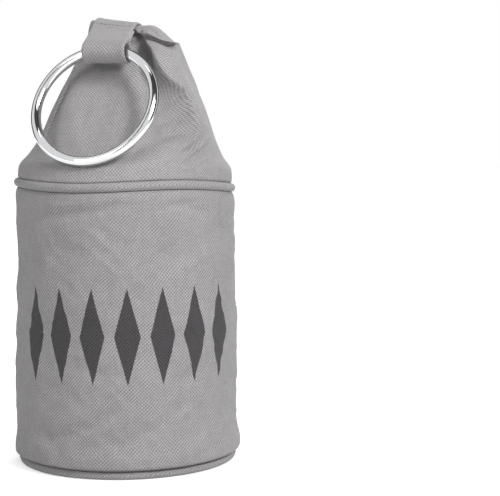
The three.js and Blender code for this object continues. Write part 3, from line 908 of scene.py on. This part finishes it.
class DOORSTOP_OT_hood(bpy.types.Operator):
    """Canvas hood, from its corded seam to the pinched and pleated ridge"""
    bl_idname = "doorstop.hood"
    bl_label = "Pinched Hood"

    def execute(self, context):
        rows = []
        weave = []
        for radius, height in [(0.0, 0.2)] + cord_arc(TOP_CORD_LINE, 0.0, 178, 92, 6, TOP_CORD_RADIUS):
            rows.append(round_row(radius, SEAM_HEIGHT + height, follow=1.0, twist=HOOD_TWIST))
            weave.append(lengths_round(radius))
        start = TOP_CORD_RADIUS + CORD_EASE
        for row in range(1, HOOD_ROWS + 1):
            height = start + (CREST_HEIGHT - start) * row / HOOD_ROWS
            self.add_row(rows, weave, hood_section(height), height, 1 - smooth(height / 30))
        crest = hood_section(CREST_HEIGHT)
        for row in range(1, RIDGE_ROWS + 1):
            share = row / RIDGE_ROWS
            height = CREST_HEIGHT + RIDGE_RISE * math.sin(share * math.pi / 2) ** RIDGE_CURVE
            top = dict(crest, width=crest["width"] + (RIDGE_HALF_WIDTH - crest["width"]) * share,
                       depth=crest["depth"] + (RIDGE_HALF_DEPTH - crest["depth"]) * share)
            self.add_row(rows, weave, top, height, 0.0)
        for share in (0.5, 0.85, 1.0):
            section = dict(top, depth=top["depth"] * (1 - share), width=top["width"] - 0.5 * share)
            self.add_row(rows, weave, section, CREST_HEIGHT + RIDGE_RISE + 0.4 * share, 0.0)
        cloth = [[(across, total) for across in line] for line, total in zip(weave, path_lengths(rows))]
        piece = wrapped_cloth("canvas_hood", rows, cloth, SEAM_JOIN)
        settle(piece, self.held(piece), pressure=0.8, slack=0.002, reach=0.0010, bending=1.0)
        finish_piece(piece, "bag", canvas_material("Canvas Hood", 1.0), nodes=["hood"])
        return {"FINISHED"}

    @staticmethod
    def held(piece):
        """The hood is held at its seam, where the ring lies on it, and at the pinch under the tab."""
        hold = []
        for vertex in piece.data.vertices:
            x, y, z = vertex.co / MM
            height = z - SEAM_HEIGHT
            sewn = 1 - smooth((height - 4) / 6) * smooth((70 - height) / 8)
            ring = 0.8 * smooth((40 - abs(x)) / 6) * smooth(-y / 12) * smooth(height / 6)
            hold.append(max(sewn, ring))
        return hold

    @staticmethod
    def add_row(rows, weave, section, height, follow):
        along, back, across = section_outline(section)
        foot = smooth((height - 2.2) / 4)
        top = smooth((RIDGE_TOP + 1 - height) / 5)
        # just over the cord, the cloth still follows the seam and rolls out from it
        radius = np.hypot(along, back)
        if foot < 1:
            scale = (TOP_CORD_LINE + (radius - TOP_CORD_LINE) * foot ** 0.5) / radius
            along, back = along * scale, back * scale
        ways = np.stack([np.gradient(back), -np.gradient(along)], axis=1)
        ways[0] = ways[-1] = (0, 1)
        ways /= np.maximum(np.linalg.norm(ways, axis=1, keepdims=True), 1e-9)
        if ways[len(ways) // 2][1] > 0:
            ways[1:-1] *= -1
        relief = fold_relief(across, np.full(across.shape, height)) * foot * top
        loose = smooth((height - 3) / 9) * smooth((RIDGE_TOP - 2 - height) / 12)
        ring = []
        for index, (a, b) in enumerate(zip(along, back)):
            place = from_ridge(a, b, height)
            angle = math.atan2(b, a) - HOOD_TWIST
            hollow = 0.0
            if b < 0:
                facing = smooth(-b / max(section["depth"], 0.1) * 1.6)
                hollow = -facing * foot * sum(
                    depth * hump(math.hypot(a - spot, height - level), reach)
                    for spot, level, depth, reach in HOLLOWS)
            lumps = soft_layers(place, HOOD_LUMPS) * loose
            lumps += HOOD_GATHER * gathers(angle, 12.5) * hump(height - 6, 6) * foot
            out = relief[index] + hollow + lumps * min(1.0, section["depth"] / 8)
            out = max(out, -DEEPEST * section["depth"])
            a += ways[index][0] * out
            b += ways[index][1] * out
            lift = follow * seam_wander(angle) - ridge_drop(a, height)
            ring.append(tuple(from_ridge(a, b, SEAM_HEIGHT + height + lift)))
        rows.append(ring)
        weave.append(across)


def hood_half_depth(height):
    if height <= CREST_HEIGHT:
        return hood_section(height)["depth"]
    rise = min(1.0, (height - CREST_HEIGHT) / RIDGE_RISE)
    share = math.asin(rise ** (1 / RIDGE_CURVE)) / (math.pi / 2)
    return CREST_HALF_DEPTH + (RIDGE_HALF_DEPTH - CREST_HALF_DEPTH) * share


def tab_place(across, back, height):
    """A place on the tab, which leans sideways on its way down to the ring."""
    loop_outside = loop_line() + CLOTH / 2
    down = within((RIDGE_TOP - height) / (LOOP_DROP - loop_outside)) if back < 0 else 0.0
    along = across * (1 + TAB_FLARE * down)
    tilt = TAB_TILT * along * down
    along += TAB_TOP_ALONG + (TAB_RING_ALONG + TAB_PULL - TAB_TOP_ALONG) * down
    return from_ridge(along, back, SEAM_HEIGHT + height - tilt - ridge_drop(along, height))


def loop_line():
    """Distance from the ring's turning line to the middle of the cloth round it."""
    wire_inside = math.sqrt((RING_RADIUS - WIRE_RADIUS) ** 2 - (TAB_WIDTH / 2) ** 2)
    axis_drop = (RING_RADIUS - wire_inside - WIRE_RADIUS) / 2
    return axis_drop + WIRE_RADIUS + GAP + LOOP_EASE + CLOTH / 2


def heading(angle):
    return Vector((math.cos(angle), math.sin(angle)))


def tab_line():
    """The middle of the tab's cloth, from its back end over the ridge and round the ring to its
    other end, in the plane across the ridge. Also gives where it leaves the ridge."""
    lie = GAP + 0.2 + CLOTH / 2
    line = []
    for share in (1, 0.8, 0.6, 0.4, 0.25, 0.15, 0.08, 0.04):
        height = RIDGE_TOP - TAB_TAIL * share
        slope = (hood_half_depth(height - 0.3) - hood_half_depth(height + 0.3)) / 0.6
        line.append(Vector((hood_half_depth(height), height)) + Vector((1, slope)).normalized() * lie)
    top = RIDGE_TOP + lie
    edge = Vector((-RIDGE_HALF_DEPTH - TAB_OVERHANG, top - 0.25))
    line += [Vector((RIDGE_HALF_DEPTH, top)), Vector((-0.6, top + 0.15)), edge]
    centre = Vector((-LOOP_FORWARD, RIDGE_TOP - LOOP_DROP))
    reach = loop_line()
    to_edge = edge - centre
    front = math.atan2(to_edge.y, to_edge.x) + math.acos(reach / to_edge.length)
    leave = centre + reach * heading(front)
    run = (leave - edge).normalized()
    under = Vector((-run.y, run.x)) * CLOTH * 1.02
    neck = leave - run * TAB_NECK + under
    to_neck = neck - centre
    back = math.atan2(to_neck.y, to_neck.x) - math.acos(reach / to_neck.length) + 2 * math.pi
    for step in range(LOOP_STEPS + 1):
        line.append(centre + reach * heading(front + (back - front) * step / LOOP_STEPS))
    line += [neck, edge + run * (STITCH_DISTANCE + 2) + under]
    return line, edge


def even_line(line, spacing):
    """The same line with evenly spaced places, its corners softened."""
    for _ in range(2):
        inner = [a.lerp(b, share) for a, b in zip(line, line[1:]) for share in (0.25, 0.75)]
        line = [line[0], *inner, line[-1]]
    lengths = [0.0]
    for a, b in zip(line, line[1:]):
        lengths.append(lengths[-1] + (b - a).length)
    wanted = np.linspace(0, lengths[-1], int(lengths[-1] / spacing) + 1)
    xs = np.interp(wanted, lengths, [p.x for p in line])
    ys = np.interp(wanted, lengths, [p.y for p in line])
    return [Vector((x, y)) for x, y in zip(xs, ys)]


def outward(line, index):
    """The way out of the cloth at one place of its line."""
    run = (line[min(index + 1, len(line) - 1)] - line[max(index - 1, 0)]).normalized()
    return Vector((run.y, -run.x))


class DOORSTOP_OT_tab(bpy.types.Operator):
    """Folded canvas tab over the ridge and round the ring, with its rows of stitches"""
    bl_idname = "doorstop.tab"
    bl_label = "Ring Tab"

    def execute(self, context):
        line, edge = tab_line()
        line = even_line(line, TAB_STEP)
        half = TAB_WIDTH / 2
        section = self.section(half)
        at_edge = min(range(len(line)), key=lambda i: (line[i] - edge).length)
        seam_at = at_edge + round(STITCH_DISTANCE * 0.82 / TAB_STEP)
        rows = []
        cloth = []
        for index, place in enumerate(line):
            out = outward(line, index)
            travelled = index * TAB_STEP
            press = STITCH_PRESS * hump((index - seam_at) * TAB_STEP, STITCH_PRESS_SPREAD)
            end = min(index, len(line) - 1 - index) * TAB_STEP
            closing = smooth(0.35 + end / 1.2)
            edge_wave = 1 + 0.012 * soft_noise((travelled, 0, 0), 6, 14)
            ring = []
            for across, thick, _ in section:
                wave = soft_layers((across, travelled, 3), TAB_WAVES)
                swell = 1 + 0.35 * hump(abs(across) - half + 1.6, 1.3)
                lift = thick * swell * closing
                if abs(thick) > 0.3:
                    lift -= math.copysign(press, thick)
                spot = place + out * (lift + wave * smooth(end / 6))
                ring.append(tuple(tab_place(across * edge_wave, spot.x, spot.y)))
            rows.append(ring)
            cloth.append([(mapped, travelled) for _, _, mapped in section])
        first, last = (self.closed(ring) for ring in (rows[0], rows[-1]))
        piece = wrapped_cloth("tab_strap", [first, *rows, last], [cloth[0], *cloth, cloth[-1]], FINE_JOIN)
        finish_piece(piece, "bag", canvas_material("Canvas Tab", 1.03), nodes=["ring_tab"])
        self.stitches(line, (seam_at, BACK_ROW))
        return {"FINISHED"}

    @staticmethod
    def section(half):
        """The strap's outline across: across, thickness and place in the weave, once round."""
        corner = CLOTH / 2
        flat = half - corner
        outer = [-flat + 2 * flat * step / TAB_STEPS_ACROSS for step in range(TAB_STEPS_ACROSS + 1)]
        right = [math.pi / 2 - math.pi * step / 6 for step in range(1, 6)]
        left = [-math.pi / 2 - math.pi * step / 6 for step in range(1, 7)]
        outline = [(across, corner) for across in outer]
        outline += [(flat + corner * math.cos(turn), corner * math.sin(turn)) for turn in right]
        outline += [(-across, -corner) for across in outer]
        outline += [(-flat + corner * math.cos(turn), corner * math.sin(turn)) for turn in left]
        total = 0.0
        section = [(*outline[0], total)]
        for before, place in zip(outline, outline[1:]):
            total += math.hypot(place[0] - before[0], place[1] - before[1])
            section.append((*place, total))
        return section

    @staticmethod
    def closed(ring):
        """A row of places that closes an end of the strap on its middle."""
        centre = tuple(sum((Vector(place) for place in ring[:-1]), Vector()) / (len(ring) - 1))
        return [centre] * len(ring)

    @staticmethod
    def stitches(line, places):
        """One stitch is shaped, then copied along the row at each place of the line."""
        bpy.ops.mesh.primitive_uv_sphere_add(segments=10, ring_count=8, radius=STITCH_RADIUS * MM)
        first = bpy.context.object
        for vertex in first.data.vertices:
            vertex.co.x *= STITCH_STRETCH
            vertex.co.z -= STITCH_SAG * MM * (vertex.co.x / MM) ** 2
        copies = []
        count = int((TAB_WIDTH - STITCH_MARGIN) / STITCH_PITCH)
        for at in places:
            out = outward(line, at)
            spot = line[at] + out * (CLOTH / 2 - STITCH_SINK)
            outer = spot + out
            for index in range(count):
                across = (index - (count - 1) / 2) * STITCH_PITCH
                middle = tab_place(across, spot.x, spot.y)
                ahead = tab_place(across + 0.5, spot.x, spot.y) - tab_place(across - 0.5, spot.x, spot.y)
                up = tab_place(across, outer.x, outer.y) - middle
                ahead.normalize()
                side = up.cross(ahead).normalized()
                turn = Matrix((ahead, side, ahead.cross(side))).transposed().to_4x4()
                copy = first.copy()
                copy.data = first.data.copy()
                bpy.context.collection.objects.link(copy)
                copy.data.transform(Matrix.Translation(middle * MM) @ turn)
                copies.append(copy)
        bpy.data.objects.remove(first)
        bpy.ops.object.select_all(action="DESELECT")
        for copy in copies:
            copy.select_set(True)
        bpy.context.view_layer.objects.active = copies[0]
        bpy.ops.object.join()
        piece = name_new("tab_stitches")
        bpy.ops.object.shade_smooth()
        finish_piece(piece, "bag", thread_material())


class DOORSTOP_OT_ring(bpy.types.Operator):
    """Chromed ring of round wire that swings in the tab"""
    bl_idname = "doorstop.ring"
    bl_label = "Pull Ring"

    def execute(self, context):
        low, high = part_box("ring")
        centre = (low + high) / 2
        joint = frame["joints"][0]
        axis = Vector(joint["axis"]).normalized()
        down = centre - Vector(joint["pos_m"])
        down = (down - axis * down.dot(axis)).normalized()
        bpy.ops.mesh.primitive_torus_add(
            major_segments=200, minor_segments=36,
            major_radius=RING_RADIUS * MM, minor_radius=WIRE_RADIUS * MM)
        piece = name_new("pull_ring")
        turn = Matrix((axis, down, axis.cross(down))).transposed().to_4x4()
        piece.data.transform(Matrix.Translation(centre) @ turn)
        bpy.ops.object.shade_smooth()
        finish_piece(piece, "pull_ring", chrome_material(), nodes=["ring"])
        return {"FINISHED"}


# Stage


# Dark boards that face the ring: name, place and size
FLAGS = (
    ("stage_flag_right", (0.92, -0.25, 0.85), (0.7, 2.0)),
    ("stage_flag_left", (-0.35, -0.85, 0.6), (0.2, 0.6)),
    ("stage_flag_top", (0.1, -0.5, 1.2), (1.7, 0.4)),
)
# Lamps that face the stop: name, place, size and the setting with their power
LAMPS = (
    ("key_lamp", (1.0, -1.2, 1.1), 0.6, "key_power"),
    ("fill_lamp", (-1.1, -1.3, 0.9), 0.8, "fill_power"),
    ("top_lamp", (0, -0.7, 1.5), 0.7, "top_power"),
    ("back_lamp", (0.5, 1.6, 1.2), 1.2, "back_power"),
)
# The camera: its place in metres, its turn, tilt and roll in degrees, its focal length in pixels of a
# picture this wide, and its sensor's width in millimetres
CAMERA_PLACE = (0, -0.7347, 0.1647)
CAMERA_TURNS = (5.296, 3.915, -0.33)
FOCAL_PIXELS = 1338.1
PICTURE_WIDTH = 500
SENSOR_WIDTH = 36


def seen_ray(tree):
    """1 for the rays that show the background: to the camera, in shiny things and through glass."""
    path = add_node(tree, "ShaderNodeLightPath").outputs
    seen = math_node(tree, "ADD", path["Is Camera Ray"], path["Is Glossy Ray"], clamp=True)
    return math_node(tree, "ADD", seen, path["Is Transmission Ray"], clamp=True)


def white_surface(name):
    """A pale matt surface, which shiny things and the camera see as the white room."""
    material, tree, shader = new_material(name, {
        "Base Color": (FLOOR_TONE, FLOOR_TONE, FLOOR_TONE, 1), "Roughness": 0.9,
        "Specular IOR Level": 0.0, "Emission Color": WHITE})
    # full white far off, and a little less near the stop, so that its shadow shows
    away = add_node(tree, "ShaderNodeVectorMath", {0: object_place(tree)}, operation="LENGTH")
    level = ramp(tree, away.outputs["Value"], 0.2, 1.0, 0.6, 1.0)
    glow = math_node(tree, "MULTIPLY", seen_ray(tree), level)
    set_inputs(tree, shader, {"Emission Strength": glow})
    return material


def facing(place, target):
    """The turn that makes a board or lamp at a place face a target."""
    return (Vector(target) - Vector(place)).to_track_quat("-Z", "Y").to_euler()


class DOORSTOP_OT_stage(bpy.types.Operator):
    """Pale floor, white room, soft lamps and the camera"""
    bl_idname = "doorstop.stage"
    bl_label = "Stage"

    def execute(self, context):
        settings = context.scene.door_stop_stage
        bpy.ops.mesh.primitive_plane_add(size=FLOOR_SIZE)
        floor = bpy.context.object
        floor.name = "stage_floor"
        floor.data.materials.append(white_surface("Pale Floor"))
        for name, place, size in FLAGS:
            bpy.ops.mesh.primitive_plane_add(size=1, location=place, rotation=facing(place, RING_VIEW))
            bpy.context.object.scale = (*size, 1)
            self.make_dark(bpy.context.object, name)
        # a wide dark tunnel behind the stop draws the thin dark lines along the wire's edges
        bpy.ops.mesh.primitive_cylinder_add(
            vertices=96, radius=1.0, depth=3.2, end_fill_type="NOTHING",
            location=(RING_VIEW[0], 2.0, RING_VIEW[2]), rotation=(math.pi / 2, 0, 0))
        self.make_dark(bpy.context.object, "stage_flag_behind")
        for name, place, size, power in LAMPS:
            bpy.ops.object.light_add(type="AREA", location=place, rotation=facing(place, LAMP_AIM))
            lamp = bpy.context.object
            lamp.name = name
            lamp.data.size = size
            lamp.data.energy = getattr(settings, power)
        self.room(context, settings.sky)
        self.camera(context)
        return {"FINISHED"}

    @staticmethod
    def make_dark(board, name):
        """Only shiny things see a dark board, as a dark streak."""
        board.name = name
        board.data.materials.append(new_material(name, {"Base Color": BOARD_BLACK})[0])
        board.visible_camera = False
        board.visible_diffuse = False
        board.visible_shadow = False

    @staticmethod
    def room(context, strength):
        """The white room: full white to the camera and to shiny things, softer as a light."""
        world = bpy.data.worlds.new("White Room")
        context.scene.world = world
        world.use_nodes = True
        tree = world.node_tree
        level = add_node(tree, "ShaderNodeMapRange", {
            "Value": seen_ray(tree), "To Min": strength, "To Max": 1.0})
        set_inputs(tree, tree.nodes["Background"], {
            "Color": WHITE, "Strength": level.outputs["Result"]})

    @staticmethod
    def camera(context):
        """The photograph's view: level with the upper seam, the stop at the left of the frame."""
        turn, tilt, roll = (math.radians(value) for value in CAMERA_TURNS)
        ahead = Vector((math.sin(turn) * math.cos(tilt), math.cos(turn) * math.cos(tilt), -math.sin(tilt)))
        right = Vector((math.cos(turn), -math.sin(turn), 0))
        up = right.cross(ahead)
        side = right * math.cos(roll) + up * math.sin(roll)
        top = up * math.cos(roll) - right * math.sin(roll)
        data = bpy.data.cameras.new("camera")
        data.sensor_width = SENSOR_WIDTH
        data.lens = FOCAL_PIXELS / PICTURE_WIDTH * SENSOR_WIDTH
        camera = bpy.data.objects.new("camera", data)
        context.collection.objects.link(camera)
        pose = Matrix((side, top, -ahead)).transposed().to_4x4()
        pose.translation = Vector(CAMERA_PLACE)
        camera.matrix_world = pose
        context.scene.camera = camera


class DOORSTOP_PT_panel(bpy.types.Panel):
    """Sizes, colours and steps of the door stop"""
    bl_idname = "DOORSTOP_PT_panel"
    bl_label = "Door Stop"
    bl_space_type = "VIEW_3D"
    bl_region_type = "UI"
    bl_category = "Door Stop"

    def draw(self, context):
        layout = self.layout
        scene = context.scene
        for title, group in (("Canvas", scene.door_stop_cloth), ("Ring", scene.door_stop_ring),
                             ("Stage", scene.door_stop_stage)):
            box = layout.box()
            box.label(text=title)
            for name in group.__annotations__:
                box.prop(group, name)
        for step in STEPS:
            layout.operator(step.bl_idname)


STEPS = (
    DOORSTOP_OT_sleeve,
    DOORSTOP_OT_base,
    DOORSTOP_OT_cords,
    DOORSTOP_OT_hood,
    DOORSTOP_OT_tab,
    DOORSTOP_OT_ring,
    DOORSTOP_OT_stage,
)
CLASSES = (ClothSettings, RingSettings, StageSettings, *STEPS, DOORSTOP_PT_panel)


def register():
    for item in CLASSES:
        bpy.utils.register_class(item)
    bpy.types.Scene.door_stop_cloth = bpy.props.PointerProperty(type=ClothSettings)
    bpy.types.Scene.door_stop_ring = bpy.props.PointerProperty(type=RingSettings)
    bpy.types.Scene.door_stop_stage = bpy.props.PointerProperty(type=StageSettings)


def unregister():
    del bpy.types.Scene.door_stop_stage
    del bpy.types.Scene.door_stop_ring
    del bpy.types.Scene.door_stop_cloth
    for item in reversed(CLASSES):
        bpy.utils.unregister_class(item)


def main():
    register()
    bpy.context.scene.view_settings.view_transform = "Standard"
    bpy.ops.doorstop.sleeve()
    bpy.ops.doorstop.base()
    bpy.ops.doorstop.cords()
    bpy.ops.doorstop.hood()
    bpy.ops.doorstop.tab()
    bpy.ops.doorstop.ring()
    bpy.ops.doorstop.stage()


if __name__ == "__main__":
    main()
